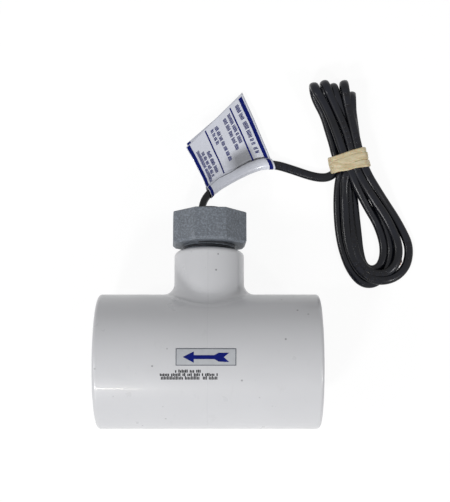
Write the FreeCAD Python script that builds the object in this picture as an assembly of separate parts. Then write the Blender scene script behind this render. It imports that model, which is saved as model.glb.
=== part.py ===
"""Paddle flow switch in a reducing tee, lying on its side with its cable wound into a hank.

Millimetres. +Z is up, X runs along the tee's run with the flow towards -X, and the branch points to +Y
and dips until the switch's head rests on the surface. The origin is on that surface, under the middle of
the tee and switch. The tee, the switch and its inside are built upright first: x along the run, z along
the branch, and the upright side -y is the one that ends up on top.
"""
import FreeCAD
import Part

import math
import os

from FreeCAD import Vector

# Tee: two slip sockets on the run, a tapered female thread in the branch
RUN_LENGTH = 115.5
RUN_OD = 70.0
SOCKET_WALL = 4.8
SOCKET_DEPTH = 38.0
SOCKET_LEAD_IN = 1.2
SOCKET_STOP = 3.95
RUN_END_ROUND = 2.0
BRANCH_OD = 37.0
BRANCH_HEIGHT = 58.0
BRANCH_ROUND = 2.5
ROOT_FILLET = 6.0
STEM_BORE = 20.6

# Tapered thread between tee and switch, as the plain cone of its pitch line
THREAD_MOUTH_OD = 26.4
THREAD_TAPER = 1 / 16
THREAD_LENGTH = 18.0

# Switch body: eight-sided head, thread, stem, and a clevis for the paddle
THREAD_SHOWN = 3.7
HEAD_HEIGHT = 17.1
HEAD_FLATS = 38.8
HEAD_SIDES = 8
HEAD_TURN = 3.0
HEAD_CHAMFER = 1.4
HEAD_TOP_CHAMFER = 0.5
STEM_OD = 18.6
CAVITY_WALL = 3.1
CAVITY_FLOOR = 38.5
WELL_OD = 16.0
WELL_FLOOR = 47.0
BOSS_PROUD = 3.2
BOSS_CHAMFER = 0.6

# Paddle on its pin
PIVOT_HEIGHT = 22.0
PIN_OD = 2.5
PIN_PLAY = 0.05
HUB_OD = 7.2
SLOT_WIDTH = 9.2
SIDE_GAP = 0.2
EAR_WIDTH = 9.0
ARM_THICKNESS = 3.2
ARM_WIDTH = 7.0
VANE_TIP = -19.0
VANE_TOP = 8.0
VANE_WIDTH = 16.0
VANE_THICKNESS = 2.2
RIB_THICKNESS = 1.4
RIB_PROUD = 1.3
TAIL_THICKNESS = 5.2
TAIL_WIDTH = 7.6
TAIL_LENGTH = 9.0
SWING = 30.0
STOP_GAP = 0.15

# Magnets and reed switch
MAGNET_OD = 3.6
PADDLE_MAGNET_LENGTH = 4.2
CAP_THICKNESS = 0.8
RETURN_MAGNET_LENGTH = 3.0
MAGNET_FLOOR = 2.0
REED_OFFSET = 3.2
REED_BOTTOM = 41.0
REED_LENGTH = 13.0
REED_OD = 2.4
REED_WALL = 0.35
REED_SEAL = 1.2
REED_TIP_OD = 1.4
LEAD_OD = 0.5
LEAD_OUT = 1.4
BLADE_WIDTH = 1.1
BLADE_THICKNESS = 0.2
BLADE_GAP = 0.25
BLADE_OVERLAP = 1.2
BLADE_ROOT_GAP = 0.1

# Cable: the tube has the section area of the oval twin cable, which is 4.9 wide and 3.4 thick
CABLE_OD = 4.1
CABLE_OFFSET = 5.2
CABLE_BURIED = 12.3
CONDUCTOR_OD = 1.3
CONDUCTOR_PITCH = 2.1
MITRE = 1
WIRE_STRAIGHT = 3.0
SLEEVE_OD = 2.1
SLEEVE_OVER_LEAD = 1.1
SLEEVE_OVER_WIRE = 1.3

# Flow arrow label on the run
LABEL_LENGTH = 30.0
LABEL_ARC = 8.6
LABEL_THICKNESS = 0.12
LABEL_DROP = 1.5
LABEL_MIDDLE_X = -1.0

# Derived
RUN_R = RUN_OD / 2
SOCKET_BORE = RUN_OD - 2 * SOCKET_WALL
WATERWAY_BORE = SOCKET_BORE - 2 * SOCKET_STOP
HEAD_BOTTOM = BRANCH_HEIGHT + THREAD_SHOWN
HEAD_TOP = HEAD_BOTTOM + HEAD_HEIGHT
BOSS_TOP = HEAD_TOP + BOSS_PROUD
CABLE_END_HEIGHT = HEAD_TOP - CABLE_BURIED
HEAD_CORNER_R = HEAD_FLATS / 2 / math.cos(math.pi / HEAD_SIDES)
HEAD_REST_R = HEAD_CORNER_R * math.cos(math.pi / HEAD_SIDES - math.radians(HEAD_TURN))
REST_HEIGHT = HEAD_TOP - HEAD_TOP_CHAMFER
DIP = math.degrees(
    math.asin(RUN_R / math.hypot(REST_HEIGHT, HEAD_REST_R)) - math.atan2(HEAD_REST_R, REST_HEIGHT)
)
STEM_R = STEM_OD / 2
TAIL_REACH = (TAIL_THICKNESS / 2) * math.cos(math.radians(SWING)) + TAIL_LENGTH * math.sin(math.radians(SWING))
SLOT_CEILING = PIVOT_HEIGHT + math.hypot(TAIL_LENGTH, TAIL_THICKNESS / 2) + 2 * STOP_GAP
REED_TOP = REED_BOTTOM + REED_LENGTH

# Lying placement: the branch axis turns down from upright by a right angle and the dip
SIN_DIP = math.sin(math.radians(DIP))
COS_DIP = math.cos(math.radians(DIP))
HEAD_REACH = REST_HEIGHT * COS_DIP + HEAD_REST_R * SIN_DIP
BOSS_REACH = BOSS_TOP * COS_DIP + (WELL_OD / 2 - BOSS_CHAMFER) * SIN_DIP
REACH_Y = max(HEAD_REACH, BOSS_REACH)
ORIGIN_Y = (RUN_R - REACH_Y) / 2
LYING = FreeCAD.Placement(Vector(0, ORIGIN_Y, RUN_R), FreeCAD.Rotation(Vector(1, 0, 0), -(90 + DIP)))

# Cable route on the surface, in the lying frame, chosen by hand
ROUTE = [
    Vector(1.2, 67.2, 13.9),
    Vector(13.4, 73.9, 9.4),
    Vector(27.2, 80.5, 4.8),
    Vector(39.2, 81.3, 2.2),
    Vector(50.0, 77.6, 2.2),
    Vector(59.6, 74.6, 2.3),
    Vector(67.6, 75.4, 3.0),
    Vector(73.4, 79.6, 3.8),
    Vector(76.4, 86.6, 4.4),
    Vector(76.4, 94.6, 5.0),
]

# Hank: a loose lower loop, a neck inside the band, and an upper fan of end loops
NECK_MIDDLE = Vector(76.4, 83.6, 0)
NECK_TURN = 16.0
NECK_WIDTH = 19.0
NECK_THICKNESS = 9.6
NECK_OVERLAP = 3.0
NECK_CORNER = 4.0
BAND_WALL = 1.3
BAND_WIDTH = 11.0
BAND_LIFT = 0.1
BAND_GAP = 0.2
LOOP_THICKNESS = 8.6
FAN_THICKNESS = 15.0
FAN_STRAND_R = 3.3
FAN_TIPS = [Vector(57.6, 123.0, 0), Vector(64.4, 125.0, 0), Vector(73.2, 125.6, 0), Vector(77.6, 118.8, 0)]
LOOP_OUTER = [
    Vector(69.6, 77.0, 0), Vector(68.2, 60.0, 0), Vector(70.4, 43.0, 0), Vector(75.6, 28.0, 0),
    Vector(83.4, 17.6, 0), Vector(94.0, 14.6, 0), Vector(104.6, 18.8, 0), Vector(111.0, 29.0, 0),
    Vector(109.2, 43.0, 0), Vector(102.6, 58.6, 0), Vector(90.0, 78.6, 0),
]
LOOP_INNER = [
    Vector(82.2, 60.0, 0), Vector(82.2, 50.0, 0), Vector(85.0, 38.6, 0), Vector(90.6, 28.2, 0),
    Vector(93.2, 34.0, 0), Vector(92.0, 43.0, 0), Vector(87.0, 54.0, 0),
]

# Flag label: wrapped round the cable, then folded back on itself
FLAG_THICKNESS = 0.5
FLAG_CORNERS = [Vector(-1.6, 68.6, 13.6), Vector(33.8, 81.6, 5.6), Vector(18.0, 121.7, 1.4)]
FLAG_LEFT_XY = (-13.7, 91.2)
WRAP_WALL = 0.4

# Free end of the cable: bare conductors in a gap of the lower loop
WIRE_END_OD = 1.6
WIRE_ENDS = {
    "wire_end_red": (Vector(104.6, 31.4, 5.2), Vector(105.2, 26.6, 5.6)),
    "wire_end_black": (Vector(104.2, 30.4, 2.4), Vector(102.6, 24.6, 2.6)),
}


def lying(shape):
    """The upright shape in its place on the surface."""
    placed = shape.copy()
    placed.Placement = LYING.multiply(placed.Placement)
    return placed


def cylinder_z(radius, low, high, x=0.0, y=0.0):
    return Part.makeCylinder(radius, high - low, Vector(x, y, low), Vector(0, 0, 1))


def cylinder_x(radius, low, high):
    return Part.makeCylinder(radius, high - low, Vector(low, 0, 0), Vector(1, 0, 0))


def cylinder_y(radius, half_width, z):
    return Part.makeCylinder(radius, 2 * half_width, Vector(0, -half_width, z), Vector(0, 1, 0))


def box_between(low, high):
    size = high - low
    return Part.makeBox(size.x, size.y, size.z, low)


def thread_radius(height):
    """Radius of the thread's cone at a height on the branch axis."""
    return THREAD_MOUTH_OD / 2 + (height - BRANCH_HEIGHT) * THREAD_TAPER / 2


def cone_z(low, high):
    return Part.makeCone(thread_radius(low), thread_radius(high), high - low, Vector(0, 0, low), Vector(0, 0, 1))


def polygon_prism(flats, low, high, top_flats=None):
    """Prism or frustum with the head's number of sides, a flat to the upright -y before its turn."""
    wires = []
    for width, height in ((flats, low), (top_flats or flats, high)):
        radius = width / 2 / math.cos(math.pi / HEAD_SIDES)
        turn = math.radians(HEAD_TURN) - math.pi / 2 + math.pi / HEAD_SIDES
        points = [
            Vector(radius * math.cos(turn + 2 * math.pi * i / HEAD_SIDES),
                   radius * math.sin(turn + 2 * math.pi * i / HEAD_SIDES), height)
            for i in range(HEAD_SIDES)
        ]
        wires.append(Part.makePolygon(points + points[:1]))
    return Part.makeLoft(wires, True, True)


def largest_solid(shape):
    return max(shape.Solids, key=lambda solid: solid.Volume)


def round_edges(shape, radius, wanted):
    edges = [edge for edge in shape.Edges if wanted(edge)]
    return shape.makeFillet(radius, edges)


# ---------------------------------------------------------------- tee

def tee_body():
    half = RUN_LENGTH / 2
    run = cylinder_x(RUN_R, -half, half)
    run = round_edges(run, RUN_END_ROUND, lambda edge: abs(abs(edge.CenterOfMass.x) - half) < 0.01)
    branch = cylinder_z(BRANCH_OD / 2, 0, BRANCH_HEIGHT)
    branch = round_edges(branch, BRANCH_ROUND, lambda edge: abs(edge.CenterOfMass.z - BRANCH_HEIGHT) < 0.01)
    outside = run.fuse(branch)

    def on_both(edge):
        first, last = edge.ParameterRange
        spots = [edge.valueAt(first + (last - first) * k / 4) for k in range(5)]
        return all(
            abs(math.hypot(p.x, p.y) - BRANCH_OD / 2) < 0.01 and abs(math.hypot(p.y, p.z) - RUN_R) < 0.01
            for p in spots
        )

    outside = round_edges(outside, ROOT_FILLET, on_both)
    stop = half - SOCKET_DEPTH
    tools = [cylinder_x(WATERWAY_BORE / 2, -half, half)]
    for side in (-1, 1):
        low, high = sorted((side * stop, side * (half + 1)))
        tools.append(cylinder_x(SOCKET_BORE / 2, low, high))
        mouth = SOCKET_BORE / 2 + SOCKET_LEAD_IN
        lead_in = Part.makeCone(mouth - SOCKET_LEAD_IN, mouth + 1, SOCKET_LEAD_IN + 1,
                                Vector(side * (half - SOCKET_LEAD_IN), 0, 0), Vector(side, 0, 0))
        tools.append(lead_in)
    thread_end = BRANCH_HEIGHT - THREAD_LENGTH
    tools.append(cone_z(thread_end, BRANCH_HEIGHT + 1))
    tools.append(cylinder_z(STEM_BORE / 2, 0, thread_end))
    return outside.cut(tools)


def arrow_label():
    """Thin printed label bent round the run, on the side that faces up."""
    sheet = cylinder_x(RUN_R + LABEL_THICKNESS, -LABEL_LENGTH / 2, LABEL_LENGTH / 2)
    sheet = sheet.cut(cylinder_x(RUN_R, -LABEL_LENGTH / 2, LABEL_LENGTH / 2))
    window = box_between(Vector(-LABEL_LENGTH / 2, -RUN_OD, -LABEL_ARC / 2),
                         Vector(LABEL_LENGTH / 2, 0, LABEL_ARC / 2))
    strip = sheet.common(window)
    strip.rotate(Vector(0, 0, 0), Vector(1, 0, 0), math.degrees(LABEL_DROP / RUN_R))
    strip.translate(Vector(LABEL_MIDDLE_X, 0, 0))
    return strip


# ---------------------------------------------------------------- switch body

def switch_body():
    head = polygon_prism(HEAD_FLATS, HEAD_BOTTOM + HEAD_CHAMFER, HEAD_TOP - HEAD_TOP_CHAMFER)
    lower = polygon_prism(HEAD_FLATS - 2 * HEAD_CHAMFER, HEAD_BOTTOM, HEAD_BOTTOM + HEAD_CHAMFER, HEAD_FLATS)
    upper = polygon_prism(HEAD_FLATS, HEAD_TOP - HEAD_TOP_CHAMFER, HEAD_TOP, HEAD_FLATS - 2 * HEAD_TOP_CHAMFER)
    thread = cone_z(BRANCH_HEIGHT - THREAD_LENGTH, HEAD_BOTTOM)
    ear_bottom = PIVOT_HEIGHT - EAR_WIDTH / 2
    stem = cylinder_z(STEM_R, PIVOT_HEIGHT, BRANCH_HEIGHT - THREAD_LENGTH)
    ears = cylinder_y(EAR_WIDTH / 2, STEM_R, PIVOT_HEIGHT)
    ears = ears.common(cylinder_z(STEM_R, ear_bottom, PIVOT_HEIGHT + EAR_WIDTH))
    skirt_top = PIVOT_HEIGHT + HUB_OD / 2 + 2 * SIDE_GAP
    below = box_between(Vector(-STEM_OD, -STEM_OD, 0), Vector(STEM_OD, STEM_OD, skirt_top))
    neck = box_between(Vector(-EAR_WIDTH / 2, -STEM_OD, PIVOT_HEIGHT), Vector(EAR_WIDTH / 2, STEM_OD, skirt_top))
    ear_blanks = ears.fuse(neck.common(stem))
    body = head.fuse([lower, upper, thread, stem.cut(below), ear_blanks]).removeSplitter()

    half_slot = SLOT_WIDTH / 2
    open_slot = box_between(Vector(-STEM_OD, -half_slot, 0), Vector(STEM_OD, half_slot, skirt_top))
    tail_slot = box_between(Vector(-TAIL_THICKNESS / 2 - STOP_GAP, -half_slot, PIVOT_HEIGHT),
                            Vector(TAIL_REACH + STOP_GAP, half_slot, SLOT_CEILING))
    cavity = cylinder_z(STEM_R - CAVITY_WALL, CAVITY_FLOOR, WELL_FLOOR)
    well = cylinder_z(WELL_OD / 2, WELL_FLOOR, HEAD_TOP + 1)
    magnet_pocket = cylinder_z(MAGNET_OD / 2, SLOT_CEILING + MAGNET_FLOOR, CAVITY_FLOOR)
    pin_hole = cylinder_y(PIN_OD / 2, STEM_R, PIVOT_HEIGHT)
    return body.cut([open_slot, tail_slot, cavity, well, magnet_pocket, pin_hole])


def pivot_pin():
    return cylinder_y(PIN_OD / 2, math.sqrt(STEM_R ** 2 - (PIN_OD / 2) ** 2), PIVOT_HEIGHT)


# ---------------------------------------------------------------- paddle

def paddle():
    half_hub = SLOT_WIDTH / 2 - SIDE_GAP
    hub = cylinder_y(HUB_OD / 2, half_hub, PIVOT_HEIGHT)
    tail = box_between(Vector(-TAIL_THICKNESS / 2, -TAIL_WIDTH / 2, PIVOT_HEIGHT),
                       Vector(TAIL_THICKNESS / 2, TAIL_WIDTH / 2, PIVOT_HEIGHT + TAIL_LENGTH))
    arm = box_between(Vector(-ARM_THICKNESS / 2, -ARM_WIDTH / 2, VANE_TOP - VANE_WIDTH / 4),
                      Vector(ARM_THICKNESS / 2, ARM_WIDTH / 2, PIVOT_HEIGHT))
    vane_low = VANE_TIP + VANE_WIDTH / 2
    outline = box_between(Vector(-VANE_THICKNESS / 2, -VANE_WIDTH / 2, vane_low),
                          Vector(VANE_THICKNESS / 2, VANE_WIDTH / 2, VANE_TOP - VANE_WIDTH / 4))
    tip = Part.makeCylinder(VANE_WIDTH / 2, VANE_THICKNESS, Vector(-VANE_THICKNESS / 2, 0, vane_low), Vector(1, 0, 0))
    shoulder = Part.makeCylinder(VANE_WIDTH / 2, VANE_THICKNESS,
                                 Vector(-VANE_THICKNESS / 2, 0, VANE_TOP - VANE_WIDTH / 2), Vector(1, 0, 0))
    ribs = []
    for side in (-1, 1):
        edge = side * (VANE_WIDTH / 2 - RIB_THICKNESS)
        low_y, high_y = sorted((edge, edge + side * RIB_THICKNESS))
        ribs.append(box_between(Vector(VANE_THICKNESS / 2, low_y, vane_low),
                                Vector(VANE_THICKNESS / 2 + RIB_PROUD, high_y, VANE_TOP - VANE_WIDTH / 4)))
    spine = box_between(Vector(0, -RIB_THICKNESS / 2, vane_low),
                        Vector(VANE_THICKNESS / 2 + RIB_PROUD, RIB_THICKNESS / 2, PIVOT_HEIGHT - HUB_OD / 2))
    body = hub.fuse([tail, arm, outline, tip, shoulder, spine] + ribs).removeSplitter()
    bore = cylinder_y(PIN_OD / 2 + PIN_PLAY, SLOT_WIDTH, PIVOT_HEIGHT)
    pocket_depth = PADDLE_MAGNET_LENGTH + CAP_THICKNESS
    tail_top = PIVOT_HEIGHT + TAIL_LENGTH
    pocket = cylinder_z(MAGNET_OD / 2, tail_top - pocket_depth, tail_top + 1)
    return body.cut([bore, pocket])


def paddle_magnet():
    top = PIVOT_HEIGHT + TAIL_LENGTH - CAP_THICKNESS
    return cylinder_z(MAGNET_OD / 2, top - PADDLE_MAGNET_LENGTH, top)


def magnet_cap():
    top = PIVOT_HEIGHT + TAIL_LENGTH
    return cylinder_z(MAGNET_OD / 2, top - CAP_THICKNESS, top)


def return_magnet():
    low = SLOT_CEILING + MAGNET_FLOOR
    return cylinder_z(MAGNET_OD / 2, low, low + RETURN_MAGNET_LENGTH)


# ---------------------------------------------------------------- reed switch and wiring

def rounded_path(points):
    """Straight runs joined by tangent arcs; returns the wire, its length and the arc radii."""
    edges = []
    radii = []
    here = points[0]
    for before, corner, after in zip(points, points[1:], points[2:]):
        to_start = (before - corner)
        to_end = (after - corner)
        shorter = min(to_start.Length, to_end.Length)
        way_in = to_start.normalize()
        way_out = to_end.normalize()
        half_turn = (math.pi - way_in.getAngle(way_out)) / 2
        setback = 0.45 * shorter
        radius = setback / math.tan(half_turn)
        radii.append(radius)
        start = corner + way_in * setback
        end = corner + way_out * setback
        bisector = (way_in + way_out).normalize()
        middle = corner + bisector * (radius / math.cos(half_turn) - radius)
        edges.append(Part.LineSegment(here, start).toShape())
        edges.append(Part.Arc(start, middle, end).toShape())
        here = end
    edges.append(Part.LineSegment(here, points[-1]).toShape())
    wire = Part.Wire(edges)
    return wire, wire.Length, radii


def ring_at_start(points, diameter):
    way = (points[1] - points[0]).normalize()
    return Part.Wire([Part.Circle(points[0], way, diameter / 2).toShape()])


def tube(points, diameter):
    """Round tube along a rounded path, with its length and the arc radii."""
    wire, length, radii = rounded_path(points)
    solid = wire.makePipeShell([ring_at_start(points, diameter)], True, False)
    return solid, length, radii


def bent_wire(points, diameter):
    """Thin wire with mitred bends, sealed inside the resin or the glass."""
    path = Part.Wire(Part.makePolygon(points).Edges)
    return path.makePipeShell([ring_at_start(points, diameter)], True, False, MITRE)


def reed_cavity():
    return cylinder_z(REED_OD / 2 - REED_WALL, REED_BOTTOM + REED_SEAL, REED_TOP - REED_SEAL, REED_OFFSET)


def reed_glass():
    """Glass tube drawn down to a sealed tip at each end."""
    outer = cylinder_z(REED_OD / 2, REED_BOTTOM + REED_SEAL, REED_TOP - REED_SEAL, REED_OFFSET)
    for shoulder, side in ((REED_BOTTOM + REED_SEAL, -1), (REED_TOP - REED_SEAL, 1)):
        outer = outer.fuse(Part.makeCone(REED_OD / 2, REED_TIP_OD / 2, REED_SEAL,
                                         Vector(REED_OFFSET, 0, shoulder), Vector(0, 0, side)))
    leads = cylinder_z(LEAD_OD / 2, REED_BOTTOM - LEAD_OUT, REED_TOP + LEAD_OUT, REED_OFFSET)
    return outer.cut([reed_cavity(), leads])


def blade(low, high, shift):
    return box_between(Vector(REED_OFFSET + shift - BLADE_THICKNESS / 2, -BLADE_WIDTH / 2, low),
                       Vector(REED_OFFSET + shift + BLADE_THICKNESS / 2, BLADE_WIDTH / 2, high))


def blade_levels():
    low = REED_BOTTOM + REED_SEAL
    high = REED_TOP - REED_SEAL
    return low, (low + high) / 2, high


def reed_fixed_blade():
    """Lower blade with the lead that turns back up beside the glass."""
    low, middle, _ = blade_levels()
    shift = (BLADE_GAP + BLADE_THICKNESS) / 2
    points = [Vector(REED_OFFSET, 0, low), Vector(REED_OFFSET, 0, REED_BOTTOM - LEAD_OUT),
              Vector(0, 0, REED_BOTTOM - LEAD_OUT), Vector(0, 0, REED_BOTTOM + LEAD_OUT)]
    lead = bent_wire(points, LEAD_OD)
    return lead.fuse(blade(low, middle + BLADE_OVERLAP / 2, shift))


def reed_moving_blade():
    _, middle, high = blade_levels()
    shift = -(BLADE_GAP + BLADE_THICKNESS) / 2
    return blade(middle - BLADE_OVERLAP / 2, high - BLADE_ROOT_GAP, shift)


def reed_upper_lead():
    return cylinder_z(LEAD_OD / 2, REED_TOP - REED_SEAL, REED_TOP + LEAD_OUT, REED_OFFSET)


def signal_wire(side):
    """Insulated wire from a reed lead (side +1 upper, -1 lower) up to its place in the cable's end."""
    cable_x = -CABLE_OFFSET
    lane = side * CONDUCTOR_PITCH / 2
    if side > 0:
        start = Vector(REED_OFFSET, 0, REED_TOP + LEAD_OUT)
        bend = Vector(REED_OFFSET, 0, REED_TOP + LEAD_OUT + WIRE_STRAIGHT)
    else:
        start = Vector(0, 0, REED_BOTTOM + LEAD_OUT)
        bend = Vector(0, 0, REED_TOP + LEAD_OUT)
    end = Vector(cable_x, lane, CABLE_END_HEIGHT)
    points = [start, bend, end - Vector(0, 0, WIRE_STRAIGHT), end]
    return bent_wire(points, CONDUCTOR_OD)


def splice_sleeve(side):
    """Shrink sleeve over the joint between reed lead and wire."""
    x = REED_OFFSET if side > 0 else 0.0
    joint = REED_TOP + LEAD_OUT if side > 0 else REED_BOTTOM + LEAD_OUT
    low = joint - SLEEVE_OVER_LEAD
    high = joint + SLEEVE_OVER_WIRE
    return cylinder_z(SLEEVE_OD / 2, low, high, x).cut(cylinder_z(CONDUCTOR_OD / 2, low, high, x))


def potting_blank():
    """Resin fill of the cavity and well, with the low boss that the cable comes out of."""
    cavity = cylinder_z(STEM_R - CAVITY_WALL, CAVITY_FLOOR, WELL_FLOOR)
    pocket = cylinder_z(MAGNET_OD / 2, SLOT_CEILING + MAGNET_FLOOR, CAVITY_FLOOR)
    well = cylinder_z(WELL_OD / 2, WELL_FLOOR, BOSS_TOP - BOSS_CHAMFER)
    boss = Part.makeCone(WELL_OD / 2, WELL_OD / 2 - BOSS_CHAMFER, BOSS_CHAMFER, Vector(0, 0, BOSS_TOP - BOSS_CHAMFER))
    return well.fuse([boss, cavity, pocket]).removeSplitter()


# ---------------------------------------------------------------- cable

def exit_point(height):
    return LYING.multVec(Vector(-CABLE_OFFSET, 0, height))


def cable_points():
    return [exit_point(CABLE_END_HEIGHT), exit_point(BOSS_TOP + BOSS_PROUD)] + ROUTE


def flat_solid(points, low, high):
    """Upright solid with a smooth closed outline through the points."""
    curve = Part.BSplineCurve()
    curve.interpolate([Vector(p.x, p.y, low) for p in points], PeriodicFlag=True)
    return Part.Face(Part.Wire([curve.toShape()])).extrude(Vector(0, 0, high - low))


def at_neck(shape):
    """A shape built round the origin with +Y along the hank, moved to the neck."""
    moved = shape.copy()
    moved.Placement = FreeCAD.Placement(NECK_MIDDLE, FreeCAD.Rotation(Vector(0, 0, 1), NECK_TURN))
    return moved


def rounded_bar(grow, length):
    """Bar along Y with the neck's round-cornered section, grown by a wall all round."""
    low = BAND_LIFT + BAND_WALL - grow
    width = NECK_WIDTH + 2 * grow
    bar = Part.makeBox(width, length, NECK_THICKNESS + 2 * grow, Vector(-width / 2, -length / 2, low))
    return round_edges(bar, NECK_CORNER + grow, lambda edge: abs(edge.tangentAt(edge.FirstParameter).y) > 0.99)


def cable_hank():
    loop = flat_solid(LOOP_OUTER, 0, LOOP_THICKNESS).cut(flat_solid(LOOP_INNER, 0, LOOP_THICKNESS))
    fan = []
    for tip in FAN_TIPS:
        way = NECK_MIDDLE - tip
        reach = way.Length
        finger = Part.makeBox(reach, 2 * FAN_STRAND_R, FAN_THICKNESS, Vector(0, -FAN_STRAND_R, 0))
        finger = finger.fuse(Part.makeCylinder(FAN_STRAND_R, FAN_THICKNESS))
        turn = math.degrees(math.atan2(way.y, way.x))
        finger.Placement = FreeCAD.Placement(tip, FreeCAD.Rotation(Vector(0, 0, 1), turn))
        fan.append(finger)
    outside = loop.fuse(fan)
    half_slab = Vector(NECK_WIDTH, BAND_WIDTH / 2 + BAND_GAP, FAN_THICKNESS)
    slab = at_neck(box_between(half_slab * -1, half_slab))
    neck = at_neck(rounded_bar(0, BAND_WIDTH + 2 * NECK_OVERLAP))
    return largest_solid(outside.cut(slab).fuse(neck).removeSplitter())


def rubber_band():
    return at_neck(rounded_bar(BAND_WALL, BAND_WIDTH).cut(rounded_bar(0, BAND_WIDTH)))


def wrap_label(cable):
    near, far, apex = FLAG_CORNERS
    normal = (far - near).cross(apex - near).normalize()
    left = Vector(FLAG_LEFT_XY[0], FLAG_LEFT_XY[1], 0)
    left.z = near.z - (normal.x * (left.x - near.x) + normal.y * (left.y - near.y)) / normal.z
    flag = Part.Face(Part.makePolygon([near, far, apex, left, near])).extrude(normal * FLAG_THICKNESS)
    along = (far - near)
    reach = along.Length
    along.normalize()
    sleeve = tube(cable_points(), CABLE_OD + 2 * WRAP_WALL)[0]
    window = Part.makeCylinder(reach, reach, near, along)
    return largest_solid(sleeve.common(window).fuse(flag).cut(cable))


def wire_end(name):
    start, end = WIRE_ENDS[name]
    way = end - start
    return Part.makeCylinder(WIRE_END_OD / 2, way.Length, start, way)


# ---------------------------------------------------------------- assembly

def build():
    cable, length, radii = tube(cable_points(), CABLE_OD)
    section = math.pi * CABLE_OD ** 2 / 4
    print("cable tube: length %.1f, volume / (section x length) %.4f" % (length, cable.Volume / (section * length)))
    print("cable arc radii: " + ", ".join("%.1f" % radius for radius in radii))
    print("dip %.4f, origin shift %.4f" % (DIP, ORIGIN_Y))

    nodes = {"tee_body": lying(tee_body()), "arrow_label": lying(arrow_label())}
    nodes["switch_body"] = lying(switch_body())
    nodes["pivot_pin"] = lying(pivot_pin())
    nodes["paddle"] = lying(paddle())
    nodes["paddle_magnet"] = lying(paddle_magnet())
    nodes["magnet_cap"] = lying(magnet_cap())
    nodes["return_magnet"] = lying(return_magnet())

    inner = {
        "reed_glass": reed_glass(),
        "reed_fixed_blade": reed_fixed_blade(),
        "reed_moving_blade": reed_moving_blade(),
        "reed_upper_lead": reed_upper_lead(),
        "signal_wire_red": signal_wire(1),
        "signal_wire_black": signal_wire(-1),
        "splice_sleeve_red": splice_sleeve(1),
        "splice_sleeve_black": splice_sleeve(-1),
    }
    resin = potting_blank().cut(list(inner.values()) + [reed_cavity(), return_magnet()])
    for name, shape in inner.items():
        nodes[name] = lying(shape)
    nodes["potting_plug"] = largest_solid(lying(resin).cut(cable))

    hank = cable_hank()
    band = rubber_band()
    ends = {name: wire_end(name) for name in WIRE_ENDS}
    nodes["cable_lead"] = largest_solid(cable.cut([hank, band]))
    nodes["cable_hank"] = largest_solid(hank.cut(list(ends.values())))
    nodes["rubber_band"] = band
    nodes["wrap_label"] = wrap_label(cable)
    nodes.update(ends)
    return nodes


def main():
    os.makedirs("parts", exist_ok=True)
    for name, shape in build().items():
        box = shape.optimalBoundingBox()
        solids = shape.Solids
        print("%-20s %d solid, volume %9.2f, valid %s, x %.1f..%.1f y %.1f..%.1f z %.2f..%.2f" % (
            name, len(solids), shape.Volume, shape.isValid(),
            box.XMin, box.XMax, box.YMin, box.YMax, box.ZMin, box.ZMax))
        solid = solids[0] if len(solids) == 1 else Part.makeCompound(solids)
        solid.exportStep("parts/%s.step" % name)


main()
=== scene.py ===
import math

import bmesh
import bpy
from mathutils import Matrix, Vector


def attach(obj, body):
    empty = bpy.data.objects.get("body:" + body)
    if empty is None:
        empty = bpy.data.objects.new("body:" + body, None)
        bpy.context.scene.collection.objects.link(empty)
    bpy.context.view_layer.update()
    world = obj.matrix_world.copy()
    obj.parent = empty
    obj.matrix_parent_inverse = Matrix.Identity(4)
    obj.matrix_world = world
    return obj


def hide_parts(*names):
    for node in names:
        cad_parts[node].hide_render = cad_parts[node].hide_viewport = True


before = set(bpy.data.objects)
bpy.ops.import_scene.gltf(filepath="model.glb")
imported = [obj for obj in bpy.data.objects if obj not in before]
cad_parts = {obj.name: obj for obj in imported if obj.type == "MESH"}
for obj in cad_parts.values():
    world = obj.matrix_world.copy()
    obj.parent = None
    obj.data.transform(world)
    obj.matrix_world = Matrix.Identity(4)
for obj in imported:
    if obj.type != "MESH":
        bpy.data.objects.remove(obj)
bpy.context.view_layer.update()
scene = bpy.context.scene
scene.view_settings.view_transform = "Standard"

# Placement of the switch's axis, as in the solids: heights along it are measured from the run's middle
DIP = math.radians(11.4944)
AXIS_Y = -0.023415
RUN_R = 0.035
MM = 0.001


def mm(*values):
    return Vector(values) * MM


def lying(x, y, s):
    """A point of the upright tee, in millimetres, in its lying place; y points down when lying."""
    return Vector((
        x * MM,
        AXIS_Y + (s * math.cos(DIP) - y * math.sin(DIP)) * MM,
        RUN_R - (s * math.sin(DIP) + y * math.cos(DIP)) * MM,
    ))


def add_object(name, data):
    obj = bpy.data.objects.new(name, data)
    scene.collection.objects.link(obj)
    return obj


def clamp(x, low=-1.0, high=1.0):
    return max(low, min(high, x))


# ---- camera

camera_data = bpy.data.cameras.new("camera")
camera_data.sensor_width = 36
camera_data.lens = 82.1
camera_data.clip_start = 0.01
camera = add_object("camera", camera_data)
camera.location = (0.0084, 0.0344, 0.635)
scene.camera = camera


# ---- mesh helpers

def plain_mesh(name, vertices=(), edges=(), faces=()):
    mesh = bpy.data.meshes.new(name)
    mesh.from_pydata([tuple(v) for v in vertices], edges, faces)
    return add_object(name, mesh)


def make_mesh(name, vertices, faces):
    obj = plain_mesh(name, vertices, faces=faces)
    mesh = obj.data
    mesh.validate()
    work = bmesh.new()
    work.from_mesh(mesh)
    bmesh.ops.recalc_face_normals(work, faces=work.faces)
    work.to_mesh(mesh)
    work.free()
    for face in mesh.polygons:
        face.use_smooth = True
    return obj


def grid_faces(columns, rows):
    """Quads of a grid whose vertices go row by row."""
    width = columns + 1
    corners = [j * width + i for j in range(rows) for i in range(columns)]
    return [(k, k + 1, k + width + 1, k + width) for k in corners]


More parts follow.
